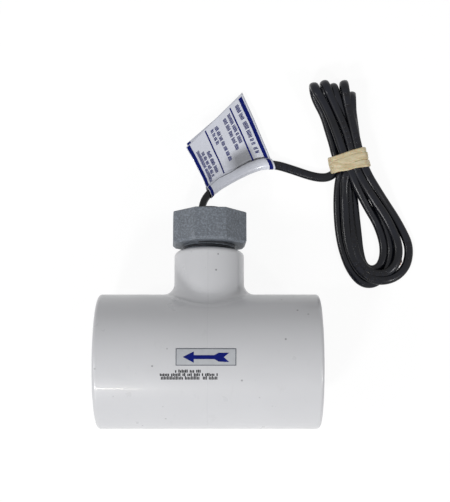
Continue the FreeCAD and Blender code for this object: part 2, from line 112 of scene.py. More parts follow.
def map_grid(mesh, name, columns, heights):
    """Map of a grid: u runs from 0 to 1 over the columns and v is each row's own height."""
    layer = mesh.uv_layers.new(name=name)
    for loop in mesh.loops:
        row, column = divmod(loop.vertex_index, columns + 1)
        layer.data[loop.index].uv = (column / columns, heights[row])


def ring_faces(count, sides):
    """Quads between rings of vertices laid one after another, with a face over each end."""
    faces = []
    for i in range(count - 1):
        here, there = i * sides, (i + 1) * sides
        for k in range(sides):
            after = (k + 1) % sides
            faces.append((here + k, here + after, there + after, there + k))
    faces.append(tuple(range(sides - 1, -1, -1)))
    faces.append(tuple(range((count - 1) * sides, count * sides)))
    return faces


def nurbs_points(name, points, steps):
    """Points read from a smooth spline with these control points."""
    curve = bpy.data.curves.new(name, "CURVE")
    curve.dimensions = "3D"
    curve.resolution_u = steps
    spline = curve.splines.new("NURBS")
    spline.points.add(len(points) - 1)
    for spot, point in zip(spline.points, points):
        spot.co = (*point, 1)
    spline.order_u = 3
    spline.use_endpoint_u = True
    holder = bpy.data.objects.new(name, curve)
    mesh = bpy.data.meshes.new_from_object(holder)
    line = [v.co.copy() for v in mesh.vertices]
    bpy.data.objects.remove(holder)
    bpy.data.curves.remove(curve)
    bpy.data.meshes.remove(mesh)
    return line


# ---- cord: oval twin cable

CORD_WIDTH = 4.9
CORD_THICKNESS = 3.5

# The cable's route in millimetres: it leaves the switch straight and is wound into four loops
CORD_ROUTE = [lying(-5.2, 0, 66.5), lying(-5.2, 0, 83.4)] + [mm(*point) for point in (
    # Lead
    (1.0, 67.6, 13.9), (13.0, 75.2, 9.4), (26.6, 81.8, 4.8), (36.0, 82.2, 2.6), (46.0, 79.2, 1.9),
    (54.5, 76.2, 2.0), (61.0, 74.8, 2.2), (66.0, 75.2, 2.4), (70.0, 78.4, 2.9), (71.2, 83.0, 3.1),
    # End loop 1
    (69.2, 88.4, 3.1), (68.2, 93.0, 2.8), (65.9, 100.7, 2.3), (63.3, 109.5, 1.9), (59.2, 117.0, 1.9),
    (57.7, 121.6, 1.9), (56.9, 125.0, 5.4), (56.9, 125.0, 10.7), (57.9, 121.4, 14.1), (61.2, 116.4, 13.7),
    (64.6, 110.0, 12.8), (68.7, 100.4, 11.4), (71.3, 93.0, 10.4), (73.6, 86.8, 9.8),
    # Loop 1
    (77.5, 77.0, 9.3), (80.0, 71.0, 8.4), (83.5, 64.5, 6.6), (87.5, 57.5, 4.4), (92.0, 50.5, 2.6),
    (95.0, 43.0, 1.9), (96.4, 36.5, 1.8), (96.0, 30.0, 1.8), (93.6, 25.2, 1.8), (89.0, 23.6, 1.8),
    (84.7, 26.3, 1.8), (82.6, 34.0, 1.8), (81.6, 44.0, 1.8), (80.4, 54.5, 1.8), (79.6, 63.0, 1.9),
    (78.6, 70.5, 2.4), (77.2, 77.0, 3.1),
    # End loop 2
    (75.5, 84.0, 3.1), (74.6, 90.0, 3.0), (72.4, 98.0, 2.6), (69.7, 106.0, 2.2), (66.8, 114.5, 1.9),
    (64.0, 122.2, 1.9), (62.6, 126.2, 5.4), (62.6, 126.2, 10.7), (64.0, 122.4, 14.1), (66.7, 116.6, 13.2),
    (69.8, 110.0, 12.4), (72.8, 103.6, 11.4), (75.4, 96.8, 10.2), (77.0, 91.0, 9.2), (78.8, 84.4, 9.0),
    # Loop 2
    (81.0, 77.0, 9.3), (85.5, 69.5, 9.0), (91.0, 61.0, 7.8), (96.5, 53.5, 6.2), (100.5, 46.0, 5.0),
    (103.5, 39.0, 4.8), (104.0, 32.5, 4.8), (102.4, 26.6, 5.0), (98.4, 22.6, 5.2), (92.6, 21.4, 5.2),
    (86.6, 23.2, 5.2), (82.2, 28.6, 5.2), (79.6, 35.5, 4.9), (78.3, 43.0, 4.4), (77.3, 52.0, 3.6),
    (76.8, 62.0, 3.4), (76.4, 69.5, 4.6), (76.6, 76.5, 6.0),
    # End loop 3
    (77.0, 84.0, 5.0), (76.5, 90.0, 3.4), (74.6, 98.0, 3.0), (72.6, 106.0, 2.4), (70.4, 113.0, 2.0),
    (68.2, 120.8, 1.9), (67.4, 124.6, 5.0), (67.4, 124.6, 10.2), (68.6, 120.2, 13.4), (71.0, 113.0, 12.0),
    (74.0, 105.5, 9.6), (77.0, 97.5, 7.4), (79.0, 90.5, 6.4), (81.5, 84.0, 6.0),
    # Loop 3
    (83.5, 78.0, 6.0), (87.0, 69.5, 5.2), (91.0, 61.5, 4.4), (95.0, 54.0, 3.8), (98.0, 46.5, 3.0),
    (100.0, 39.5, 2.4), (100.5, 33.0, 2.0), (99.2, 26.4, 1.8), (96.2, 20.4, 1.8), (90.4, 15.8, 1.8),
    (83.4, 16.8, 1.8), (77.4, 24.4, 1.8), (73.5, 35.0, 1.8), (71.6, 45.0, 1.8), (70.8, 55.0, 1.8),
    (70.6, 63.5, 2.6), (71.0, 71.5, 4.4), (72.0, 76.0, 6.0),
    # End loop 4
    (73.5, 82.5, 5.0), (77.0, 88.0, 3.4), (78.5, 94.0, 2.6), (78.0, 102.5, 2.2), (76.4, 111.0, 2.0),
    (74.2, 121.8, 1.9), (73.5, 126.2, 5.4), (73.3, 126.2, 10.8), (73.5, 122.2, 14.3), (74.4, 116.8, 13.6),
    (75.9, 110.6, 12.8), (77.5, 104.8, 11.8), (79.2, 98.4, 10.8), (80.8, 91.6, 10.0), (83.3, 83.6, 9.4),
    # Loop 4
    (86.5, 76.0, 9.0), (91.0, 69.0, 7.4), (96.5, 61.0, 4.6), (102.5, 52.5, 2.2), (106.7, 45.0, 1.8),
    (109.7, 38.5, 1.8), (110.1, 32.0, 1.8), (108.4, 25.6, 2.0), (103.4, 20.4, 3.6), (96.2, 17.9, 5.2),
    (89.0, 18.7, 5.4), (82.2, 23.6, 5.3), (78.0, 31.5, 5.2), (75.5, 41.0, 5.2), (74.6, 52.5, 5.2),
    (74.2, 63.5, 5.6), (73.8, 71.0, 7.6), (74.5, 77.0, 9.0),
    # End loop 5
    (77.0, 82.0, 8.0), (80.0, 87.5, 5.6), (81.0, 94.0, 3.2), (80.1, 101.0, 2.4), (79.2, 108.0, 2.0),
    (78.2, 116.2, 1.9), (77.8, 120.1, 5.0), (77.5, 120.1, 9.9), (77.3, 116.2, 13.0), (77.6, 110.0, 12.0),
    (78.3, 103.0, 9.8), (79.3, 96.0, 7.6), (80.7, 89.5, 5.8), (82.5, 83.0, 3.8),
    # Free end
    (83.5, 77.5, 3.1), (85.5, 72.5, 2.4), (89.5, 66.0, 1.9), (94.0, 58.0, 1.8), (98.5, 50.0, 1.8),
    (102.0, 42.5, 1.8), (103.6, 37.0, 1.8), (104.2, 33.0, 1.8),
)]


def cord_section(sides=36, squareness=2.1):
    """Oval jacket, a little fuller than an ellipse, as (across, up) offsets in millimetres."""
    ring = []
    for k in range(sides):
        angle = 2 * math.pi * (k + 0.5) / sides
        c, s = math.cos(angle), math.sin(angle)
        ring.append((
            CORD_WIDTH / 2 * math.copysign(abs(c) ** (2 / squareness), c),
            CORD_THICKNESS / 2 * math.copysign(abs(s) ** (2 / squareness), s),
        ))
    return ring


def distances(line):
    """Distance along a line to each of its points."""
    gone = [0.0]
    for before, after in zip(line, line[1:]):
        gone.append(gone[-1] + (after - before).length)
    return gone


def directions(line):
    return [(line[min(i + 1, len(line) - 1)] - line[max(i - 1, 0)]).normalized() for i in range(len(line))]


# The cord leaves the switch on edge and lies down over this length; past it, it leans outwards in its
# turns, fully in a turn of the lean's radius, and rolls lazily to and fro
EDGEWAYS_LENGTH = 0.052
EDGEWAYS_FALL = 0.8
LEAN_ANGLE = math.radians(16)
LEAN_RADIUS = 0.011
ROLL_ANGLE = math.radians(8)
ROLL_LENGTH = 0.031
ROLL_RISE = 0.08
# Below this sideways share the cord stands too steep for a level width, and below this run in plan its
# turning isn't read
STEEP = 0.35
STILL_IN_PLAN = 0.0004


def leans(line, ways, reach=10):
    """How far the cord leans outwards at each point: more where its turns are tight in plan."""
    turns = []
    for i in range(len(line)):
        a, b = max(i - 1, 0), min(i + 1, len(line) - 1)
        run = (line[b].xy - line[a].xy).length
        turns.append(ways[a].xy.cross(ways[b].xy) / run if run > STILL_IN_PLAN else 0.0)
    angles = []
    for i in range(len(line)):
        near = turns[max(0, i - reach):i + reach + 1]
        angles.append(LEAN_ANGLE * clamp(sum(near) / len(near) * LEAN_RADIUS))
    return angles


def cord_widths(line, ways):
    """Direction of the cord's width: on edge at the switch, then level but for its leans and rolls."""
    up = Vector((0, 0, 1))
    widths, before = [], None
    for way, lean, gone in zip(ways, leans(line, ways), distances(line)):
        across = up.cross(way)
        if across.length > STEEP:
            across.normalize()
            if before is not None and across.dot(before) < 0:
                across.negate()
        else:
            across = (before - way * before.dot(way)).normalized()
        before = across
        twist = math.radians(90) * max(0.0, 1 - gone / EDGEWAYS_LENGTH) ** EDGEWAYS_FALL
        if gone > EDGEWAYS_LENGTH:
            rise = min(1.0, (gone - EDGEWAYS_LENGTH) / ROLL_RISE)
            twist += lean + ROLL_ANGLE * math.sin(gone / ROLL_LENGTH) * rise
        widths.append(across * math.cos(twist) + way.cross(across) * math.sin(twist))
    return widths


def map_cord(mesh, gone, sides):
    """Map of the jacket: u is the distance along the cord in metres and v goes once round it."""
    layer = mesh.uv_layers.new(name="jacket")
    for face in mesh.polygons:
        turns = [mesh.loops[i].vertex_index % sides for i in face.loop_indices]
        closing = 0 in turns and sides - 1 in turns
        for i, turn in zip(face.loop_indices, turns):
            around = sides if closing and turn == 0 else turn
            layer.data[i].uv = (gone[mesh.loops[i].vertex_index // sides], (around + 0.5) / sides)


def make_cord():
    line = nurbs_points("cord_line", CORD_ROUTE, 7)
    ways = directions(line)
    section = cord_section()
    vertices = []
    for point, way, width in zip(line, ways, cord_widths(line, ways)):
        thick = way.cross(width)
        vertices += [point + width * (a * MM) + thick * (b * MM) for a, b in section]
    obj = make_mesh("cord", vertices, ring_faces(len(line), len(section)))
    gone = distances(line)
    map_cord(obj.data, gone, len(section))
    return obj, line, gone[-1]


cord, cord_line, cord_length = make_cord()


# ---- node trees

def new_group(name, kind, inputs, outputs):
    """A node group with named inputs; a tuple is a colour in a shader and a vector in a shape."""
    group = bpy.data.node_groups.new(name, kind)

    def socket(label, way, holds):
        return group.interface.new_socket(label, in_out=way, socket_type="NodeSocket" + holds)

    for label, value in inputs.items():
        if isinstance(value, str):
            socket(label, "INPUT", value)
        elif not isinstance(value, tuple):
            socket(label, "INPUT", type(value).__name__.title()).default_value = value
        elif kind == "ShaderNodeTree":
            socket(label, "INPUT", "Color").default_value = (*value, 1)
        else:
            socket(label, "INPUT", "Vector").default_value = value
    for label, holds in outputs.items():
        socket(label, "OUTPUT", holds)
    return group


class Nodes:
    """Chained helpers for building a node tree."""

    def __init__(self, tree):
        self.tree = tree

    def feed(self, socket, value):
        if isinstance(value, bpy.types.NodeSocket):
            self.tree.links.new(value, socket)
        elif isinstance(value, tuple) and socket.type == "RGBA":
            socket.default_value = (*value, 1)
        else:
            socket.default_value = value

    def add(self, kind, inputs=None, **settings):
        node = self.tree.nodes.new(kind)
        for key, value in settings.items():
            setattr(node, key, value)
        for key, value in (inputs or {}).items():
            self.feed(node.inputs[key], value)
        return node

    def math(self, operation, *values):
        node = self.add("ShaderNodeMath", dict(enumerate(values)), operation=operation)
        return node.outputs[0]

    def times(self, a, b):
        return self.math("MULTIPLY", a, b)

    def minus(self, a, b):
        return self.math("SUBTRACT", a, b)

    def exceeds(self, a, b):
        """1 where a is over b, or else 0."""
        return self.math("GREATER_THAN", a, b)

    def vector(self, operation, *values):
        node = self.add("ShaderNodeVectorMath", dict(enumerate(values)), operation=operation)
        return node.outputs["Value" if operation in ("LENGTH", "DOT_PRODUCT") else "Vector"]

    def scaled(self, vector, factor):
        node = self.add("ShaderNodeVectorMath", {0: vector, "Scale": factor}, operation="SCALE")
        return node.outputs["Vector"]


class Shading(Nodes):
    """Helpers for surface patterns; every pattern reads Object coordinates."""

    def __init__(self, tree):
        super().__init__(tree)
        self.coords = self.add("ShaderNodeTexCoord").outputs["Object"]

    def map_axes(self, name):
        """The two axes of a piece's own map."""
        place = self.add("ShaderNodeUVMap", uv_map=name).outputs["UV"]
        return self.add("ShaderNodeSeparateXYZ", {0: place}).outputs[:2]

    def noise(self, scale, detail, rough=0.5, stretch=None):
        source = self.coords
        if stretch:
            source = self.add("ShaderNodeMapping", {"Vector": source, "Scale": stretch}).outputs["Vector"]
        node = self.add("ShaderNodeTexNoise", {
            "Vector": source, "Scale": scale, "Detail": detail, "Roughness": rough})
        return node.outputs["Fac"]

    def ramp(self, source, stops):
        node = self.add("ShaderNodeValToRGB", {"Fac": source})
        elements = node.color_ramp.elements
        while len(elements) < len(stops):
            elements.new(0.5)
        for element, (place, value) in zip(elements, stops):
            element.position = place
            element.color = (*value, 1) if isinstance(value, tuple) else (value, value, value, 1)
        return node.outputs["Color"]

    def mix(self, factor, a, b, blend="MIX"):
        node = self.add("ShaderNodeMix", data_type="RGBA", blend_type=blend)
        for index, value in ((0, factor), (6, a), (7, b)):
            self.feed(node.inputs[index], value)
        return node.outputs[2]

    def swing(self, source):
        """A noise value spread over -1 to 1."""
        spread = self.math("MULTIPLY_ADD", source, 5.0, -2.5)
        return self.math("MINIMUM", self.math("MAXIMUM", spread, -1.0), 1.0)


# ---- effects that several finishes share

def moulded_surface():
    """Slow drift of colour, uneven gloss and a fine grain, as on moulded plastic."""
    group = new_group("moulded_surface", "ShaderNodeTree", {
        "Color": (0.5, 0.5, 0.5), "Variation": 0.04, "Drift Scale": 60.0,
        "Roughness": 0.4, "Gloss Spread": 0.12, "Grain Scale": 900.0,
    }, {"Color": "Color", "Roughness": "Float", "Grain": "Float"})
    nodes = Shading(group)
    start, end = nodes.add("NodeGroupInput").outputs, nodes.add("NodeGroupOutput").inputs
    drift = nodes.swing(nodes.noise(start["Drift Scale"], 4))
    shade = nodes.math("MULTIPLY_ADD", drift, start["Variation"], 1.0)
    nodes.feed(end["Color"], nodes.mix(1.0, start["Color"], shade, "MULTIPLY"))
    gloss = nodes.swing(nodes.noise(nodes.times(start["Drift Scale"], 4.0), 3))
    spread = nodes.math("MULTIPLY_ADD", gloss, start["Gloss Spread"], 1.0)
    nodes.feed(end["Roughness"], nodes.times(start["Roughness"], spread))
    nodes.feed(end["Grain"], nodes.noise(start["Grain Scale"], 3))
    return group


def handling_marks():
    """Sparse short scuffs and smudges."""
    group = new_group(
        "handling_marks", "ShaderNodeTree", {"Scale": 260.0, "Coverage": 0.4}, {"Mask": "Float"})
    nodes = Shading(group)
    start, end = nodes.add("NodeGroupInput").outputs, nodes.add("NodeGroupOutput").inputs
    streaks = nodes.noise(start["Scale"], 5, 0.62, (1.0, 0.3, 1.0))
    patches = nodes.noise(nodes.times(start["Scale"], 0.12), 2)
    level = nodes.math("MULTIPLY_ADD", start["Coverage"], -0.25, 0.72)
    gathered = nodes.math("MULTIPLY_ADD", patches, 0.3, streaks)
    above = nodes.minus(gathered, nodes.math("ADD", level, 0.15))
    mask = nodes.math("MINIMUM", nodes.math("MAXIMUM", nodes.times(above, 12.0), 0.0), 1.0)
    nodes.feed(end["Mask"], mask)
    return group


SHARED = {"surface": moulded_surface(), "marks": handling_marks()}


class Look(Shading):
    """A Principled material."""

    def __init__(self, name, **inputs):
        self.material = bpy.data.materials.new(name)
        self.material.use_nodes = True
        super().__init__(self.material.node_tree)
        self.shader = self.tree.nodes["Principled BSDF"]
        for key, value in inputs.items():
            self.feed(self.shader.inputs[key.replace("_", " ")], value)

    def shared(self, key, **values):
        node = self.add("ShaderNodeGroup", node_tree=SHARED[key])
        for label, value in values.items():
            self.feed(node.inputs[label.replace("_", " ")], value)
        return node.outputs

    def moulded(self, color, rough, variation, drift, gloss, grain):
        """Places the shared surface effect, and returns its colour and its grain."""
        outputs = self.shared(
            "surface", Color=color, Variation=variation, Drift_Scale=drift, Roughness=rough,
            Gloss_Spread=gloss, Grain_Scale=grain)
        self.color(outputs["Color"])
        self.rough(outputs["Roughness"])
        return outputs["Color"], outputs["Grain"]

    def marks(self, color, over, scale, coverage, strength):
        mask = self.shared("marks", Scale=scale, Coverage=coverage)["Mask"]
        return self.mix(self.times(mask, strength), color, over)

    def color(self, source):
        self.feed(self.shader.inputs["Base Color"], source)

    def rough(self, source):
        self.feed(self.shader.inputs["Roughness"], source)

    def bump(self, source, strength, distance):
        node = self.add("ShaderNodeBump", {"Strength": strength, "Distance": distance, "Height": source})
        normal = self.shader.inputs["Normal"]
        if normal.is_linked:
            self.feed(node.inputs["Normal"], normal.links[0].from_socket)
        self.feed(normal, node.outputs["Normal"])


# ---- finishes

def tinted(color, factor):
    return tuple(min(1.0, c * factor) for c in color)


def plastic(name, color, rough, variation, drift, grain=900.0, depth=0.00003, strength=0.4, **inputs):
    look = Look(name, **inputs)
    look.bump(look.moulded(color, rough, variation, drift, 0.12, grain)[1], strength, depth)
    return look.material


# Marks of the tee's mould: its parting line, and the lip round the foot of the branch
PARTING_LINE_X = -0.0004
PARTING_LINE_WIDTH = 1 / 3200
LIP_RADIUS = 0.0212
LIP_WIDTH = 1 / 300
LIP_START = 0.004


def white_pvc():
    """Satin pipe-fitting plastic, with its mould marks, a few specks and faint scuffs."""
    look = Look("white_pvc", IOR=1.53, Coat_Weight=0.3, Coat_Roughness=0.10)
    tone, grain = look.moulded((0.595, 0.600, 0.622), 0.34, 0.022, 22.0, 0.2, 320.0)
    across = look.add("ShaderNodeSeparateXYZ", {0: look.coords}).outputs[0]
    off = look.math("ABSOLUTE", look.minus(across, PARTING_LINE_X))
    seam = look.ramp(look.math("DIVIDE", off, 2 * PARTING_LINE_WIDTH), [(0.0, 1.0), (0.5, 0.0)])
    color = look.mix(look.times(seam, 0.14), tone, (0.36, 0.37, 0.39))
    cells = look.add("ShaderNodeTexVoronoi", {"Vector": look.coords, "Scale": 150.0})
    near = look.ramp(cells.outputs["Distance"], [(0.055, 1.0), (0.095, 0.0)])
    pick = look.add("ShaderNodeSeparateColor", {0: cells.outputs["Color"]})
    chosen = look.exceeds(pick.outputs[0], 0.5)
    darkness = look.times(pick.outputs[1], 0.9)
    specks = look.times(look.times(near, chosen), darkness)
    color = look.mix(specks, color, (0.06, 0.06, 0.07))
    color = look.marks(color, (0.40, 0.40, 0.42), 240.0, 0.35, 0.10)
    look.color(color)
    branch_way = (0.0, math.cos(DIP), -math.sin(DIP))
    offset = look.vector("SUBTRACT", look.coords, (0.0, AXIS_Y, RUN_R))
    radius = look.vector("LENGTH", look.vector("CROSS_PRODUCT", offset, branch_way))
    upward = look.vector("DOT_PRODUCT", offset, branch_way)
    out = look.math("DIVIDE", look.minus(radius, LIP_RADIUS), LIP_WIDTH)
    lip = look.ramp(out, [(0.0, 0.0), (0.45, 1.0), (0.60, 0.9), (1.0, 0.0)])
    lip = look.times(lip, look.exceeds(upward, LIP_START))
    look.bump(grain, 0.25, 0.00004)
    look.bump(seam, 0.5, 0.00006)
    look.bump(lip, 0.6, 0.0005)
    return look.material


def grey_pvc():
    """Coarser dark-grey plastic with a salt-and-pepper grain."""
    base = (0.148, 0.166, 0.192)
    look = Look("grey_pvc", IOR=1.5)
    tone, grain = look.moulded(base, 0.55, 0.10, 120.0, 0.2, 1500.0)
    speckle = look.noise(950.0, 4, 0.72)
    color = look.mix(0.55, tone, look.ramp(speckle, [
        (0.34, tinted(base, 0.42)), (0.5, tinted(base, 0.95)), (0.66, tinted(base, 2.1))]))
    color = look.marks(color, (0.30, 0.32, 0.35), 300.0, 0.5, 0.25)
    look.color(color)
    look.bump(speckle, 0.6, 0.00010)
    look.bump(grain, 0.3, 0.00004)
    return look.material


# Pressed dashes along the cable: from one to the next, and from one group of them to the next
DASH_PITCH = 0.0031
DASH_RUN = 0.093


def cable_jacket():
    """Black vinyl with painted shade darkening it towards its edges, and groups of plain pressed dashes
    along it.
    """
    look = Look("cable_jacket", IOR=1.5, Specular_IOR_Level=0.25)
    tone, grain = look.moulded((0.0048, 0.0058, 0.0108), 0.27, 0.65, 40.0, 0.04, 700.0)
    along, around = look.map_axes("jacket")
    # Painted shade: the colour darkens from the cord's broad faces towards its edges
    flat = look.math("ABSOLUTE", look.math("SINE", look.times(around, 2 * math.pi)))
    color = look.mix(look.math("POWER", flat, 1.6), (0.0008, 0.0008, 0.0014), tone)
    color = look.marks(color, (0.020, 0.020, 0.024), 220.0, 0.2, 0.15)
    step = look.math("DIVIDE", along, DASH_PITCH)
    dice = look.add("ShaderNodeTexWhiteNoise", {
        "W": look.math("FLOOR", step)}, noise_dimensions="1D").outputs["Value"]
    place = look.math("FRACT", step)
    length = look.math("MULTIPLY_ADD", dice, 0.35, 0.25)
    kept = look.exceeds(dice, 0.22)
    pressed = look.times(look.math("LESS_THAN", place, length), kept)
    runs = look.exceeds(look.math("FRACT", look.math("DIVIDE", along, DASH_RUN)), 0.42)
    pressed = look.times(pressed, runs)
    width = look.math("MULTIPLY_ADD", dice, 0.05, 0.05)
    middle = look.math("LESS_THAN", look.math("ABSOLUTE", look.minus(around, 0.25)), width)
    pressed = look.times(pressed, middle)
    look.color(look.mix(look.times(pressed, 0.8), color, (0.0015, 0.0012, 0.0030)))
    look.bump(grain, 0.01, 0.00001)
    look.bump(look.noise(45.0, 0), 0.15, 0.00010)
    look.bump(look.times(pressed, -1.0), 0.4, 0.00008)
    return look.material


def band_rubber():
    """Aged natural rubber, drier and paler along its streaks."""
    base = (0.575, 0.475, 0.285)
    look = Look("band_rubber", IOR=1.5, Subsurface_Weight=0.12, Subsurface_Scale=0.0015)
    tone, grain = look.moulded(base, 0.55, 0.05, 140.0, 0.2, 1200.0)
    streaks = look.noise(300.0, 5, 0.62, (0.5, 2.2, 1.4))
    color = look.ramp(streaks, [(0.30, (0.36, 0.27, 0.14)), (0.46, base), (0.66, (0.78, 0.70, 0.50))])
    look.color(look.mix(0.75, tone, color))
    look.bump(streaks, 0.6, 0.00022)
    look.bump(grain, 0.3, 0.00005)
    return look.material


# Where the flag's leaf meets its turn round the cord, as a share of the film's whole width, and how far
# the crease there wanders and how thick it is
# The crease is a slight groove drawn with a dark line of painted shade
PINCH = 0.413
CREASE_WANDER = 0.030
CREASE_HALF_WIDTH = 0.0075
# The grey patch above the crease, a painted reflection: its middle, and how fast it fades
REFLECTION_ABOVE = 0.05
REFLECTION_FADE = 8.0


def white_vinyl():
    """Glossy label film with slight ripples, creased where pinched on the cord; painted shade in the
    crease, a painted reflection above.
    """
    look = Look("white_vinyl", IOR=1.5, Coat_Weight=0.5, Coat_Roughness=0.08)
    tone, grain = look.moulded((0.76, 0.785, 0.875), 0.26, 0.025, 60.0, 0.2, 110.0)
    color = look.marks(tone, (0.55, 0.57, 0.62), 200.0, 0.3, 0.2)
    along, down = look.map_axes("film")
    wander = look.math(
        "MULTIPLY_ADD", look.noise(110.0, 3, 0.6), CREASE_WANDER, PINCH - CREASE_WANDER / 2)
    off = look.math("ABSOLUTE", look.minus(down, wander))
    press = look.ramp(along, [(0.10, 0.15), (0.45, 0.5), (0.72, 1.0), (0.90, 0.8), (0.97, 0.0)])
    # Dark line of painted shade along the crease, also bumped in as a slight groove
    crease_and_painted_shade = look.math("LESS_THAN", off, look.times(press, CREASE_HALF_WIDTH))
    # Grey patch above the crease: a painted reflection
    above = look.minus(look.minus(PINCH, down), REFLECTION_ABOVE)
    near = look.math("MULTIPLY_ADD", look.math("ABSOLUTE", above), -REFLECTION_FADE, 1.0)
    middle = look.ramp(along, [(0.38, 0.0), (0.55, 1.0), (0.74, 1.0), (0.84, 0.0)])
    painted_reflection = look.times(look.ramp(near, [(0.3, 0.0), (0.8, 1.0)]), middle)
    color = look.mix(look.times(painted_reflection, 0.85), color, (0.20, 0.205, 0.225))
    color = look.mix(look.times(crease_and_painted_shade, 0.9), color, (0.035, 0.036, 0.045))
    look.color(color)
    look.bump(grain, 0.35, 0.00018)
    look.bump(crease_and_painted_shade, 0.5, 0.0002)
    return look.material


def silver_label():
    look = Look("silver_label", IOR=1.5, Metallic=0.25)
    tone, grain = look.moulded((0.43, 0.445, 0.47), 0.40, 0.06, 260.0, 0.2, 1500.0)
    look.color(look.marks(tone, (0.30, 0.31, 0.33), 320.0, 0.3, 0.3))
    look.bump(grain, 0.2, 0.00002)
    return look.material


def ink(name, color):
    return plastic(name, color, 0.55, 0.20, 220.0, 1800.0, 0.00001, 0.2, Specular_IOR_Level=0.08)


def metal(name, color, rough):
    look = Look(name, Metallic=1.0)
    look.moulded(color, rough, 0.05, 220.0, 0.25, 1400.0)
    look.bump(look.noise(500.0, 3, 0.6, (1.0, 0.1, 1.0)), 0.15, 0.00002)
    return look.material


def clear_glass():
    look = Look("clear_glass", IOR=1.5, Transmission_Weight=0.9)
    look.color(look.ramp(look.noise(90.0, 2), [(0.3, (0.76, 0.88, 0.82)), (0.7, (0.84, 0.92, 0.88))]))
    look.rough(look.ramp(look.noise(300.0, 2), [(0.3, 0.04), (0.7, 0.09)]))
    return look.material


materials = {
    "white_pvc": white_pvc(),
    "grey_pvc": grey_pvc(),
    # The thread's near-black colour is painted shade of the gap between the head and the branch
    "thread": plastic("dark_thread", (0.022, 0.025, 0.030), 0.42, 0.25, 300.0, 2000.0, 0.00005),
    "jacket": cable_jacket(),
    "band": band_rubber(),
    "vinyl": white_vinyl(),
    "silver": silver_label(),
    "navy": ink("navy_ink", (0.005, 0.011, 0.150)),
    "rim_ink": ink("rim_ink", (0.12, 0.13, 0.15)),
    "black_ink": ink("black_ink", (0.006, 0.006, 0.008)),
    "steel": metal("steel", (0.60, 0.60, 0.61), 0.28),
    "nickel": metal("nickel", (0.55, 0.54, 0.52), 0.22),
    "reed": metal("reed_alloy", (0.62, 0.58, 0.50), 0.30),
    "copper": metal("copper", (0.80, 0.42, 0.25), 0.30),
    "glass": clear_glass(),
    "resin": plastic("black_resin", (0.012, 0.012, 0.014), 0.30, 0.3, 120.0, 700.0, 0.00005),
    "red": plastic("red_insulation", (0.11, 0.007, 0.009), 0.35, 0.1, 200.0),
    "black": plastic("black_insulation", (0.012, 0.012, 0.014), 0.35, 0.2, 200.0),
    "sleeve": plastic("shrink_sleeve", (0.03, 0.03, 0.032), 0.5, 0.2, 200.0),
}


def dress(obj, key):
    obj.data.materials.append(materials[key])
    return obj


for key, pieces in {
    "white_pvc": "tee_body", "grey_pvc": "switch_body paddle magnet_cap", "silver": "arrow_label",
    "steel": "pivot_pin", "nickel": "paddle_magnet return_magnet", "glass": "reed_glass",
    "reed": "reed_fixed_blade reed_moving_blade reed_upper_lead", "red": "signal_wire_red",
    "black": "signal_wire_black", "sleeve": "splice_sleeve_red splice_sleeve_black",
    "resin": "potting_plug",
}.items():
    for node in pieces.split():
        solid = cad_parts[node]
        for spot in solid.material_slots:
            spot.material = materials[key]
        if not solid.material_slots:
            solid.data.materials.append(materials[key])

dress(cord, "jacket")
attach(cord, "root")
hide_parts("cable_lead", "cable_hank")


# ---- shapes that repeat or follow a path

class Recipe(Nodes):
    """A Geometry Nodes tree with named inputs, which ends in Realize Instances and Set Material."""

    def __init__(self, name, inputs):
        inputs = {"Geometry": "Geometry", **inputs, "Finish": "Material"}
        super().__init__(new_group(name, "GeometryNodeTree", inputs, {"Geometry": "Geometry"}))
        self.inputs = self.add("NodeGroupInput").outputs

    def shape(self, kind, inputs=None, **settings):
        """The first output of a new shape node."""
        return self.add("GeometryNode" + kind, inputs, **settings).outputs[0]

    def finish(self, geometry):
        solid = self.shape("RealizeInstances", {"Geometry": geometry})
        finished = self.shape("SetMaterial", {"Geometry": solid, "Material": self.inputs["Finish"]})
        self.feed(self.add("NodeGroupOutput").inputs["Geometry"], finished)
        return self

    def apply(self, obj, key, values):
        modifier = obj.modifiers.new(self.tree.name, "NODES")
        modifier.node_group = self.tree
        items = self.tree.interface.items_tree
        names = {item.name: item.identifier for item in items if item.in_out == "INPUT"}
        for label, value in {**values, "Finish": materials[key]}.items():
            modifier[names[label]] = value
        return obj


def settle(obj):
    """Turns the result of an object's modifiers into its own plain mesh."""
    graph = bpy.context.evaluated_depsgraph_get()
    mesh = bpy.data.meshes.new_from_object(obj.evaluated_get(graph), depsgraph=graph)
    obj.modifiers.clear()
    obj.data = mesh
    return obj


def path_object(name, points, closed=False):
    edges = [(i, i + 1) for i in range(len(points) - 1)]
    if closed:
        edges.append((len(points) - 1, 0))
    return plain_mesh(name, points, edges)


def thread_turns():
    """A pointed ridge that climbs round the z axis on a slight cone."""
    recipe = Recipe("thread_turns", {
        "Turns": 3.0, "Low Radius": 0.013, "High Radius": 0.013, "Climb": 0.005, "Ridge": 0.0007})
    size = recipe.inputs
    spiral = recipe.shape("CurveSpiral", {
        "Resolution": 72, "Rotations": size["Turns"], "Start Radius": size["Low Radius"],
        "End Radius": size["High Radius"], "Height": size["Climb"]})
    level = recipe.shape("SetCurveNormal", {"Curve": spiral}, mode="Z_UP")
    section = recipe.shape("CurvePrimitiveCircle", {"Resolution": 3, "Radius": size["Ridge"]})
    return recipe.finish(recipe.shape("CurveToMesh", {
        "Curve": level, "Profile Curve": section, "Fill Caps": True}))


def swept_wire():
    """A round wire along a path."""
    recipe = Recipe("swept_wire", {"Diameter": 0.0017})
    path = recipe.shape("MeshToCurve", {"Mesh": recipe.inputs["Geometry"]})
    section = recipe.shape("CurvePrimitiveCircle", {
        "Resolution": 14, "Radius": recipe.times(recipe.inputs["Diameter"], 0.5)})
    return recipe.finish(recipe.shape("CurveToMesh", {
        "Curve": path, "Profile Curve": section, "Fill Caps": True}))


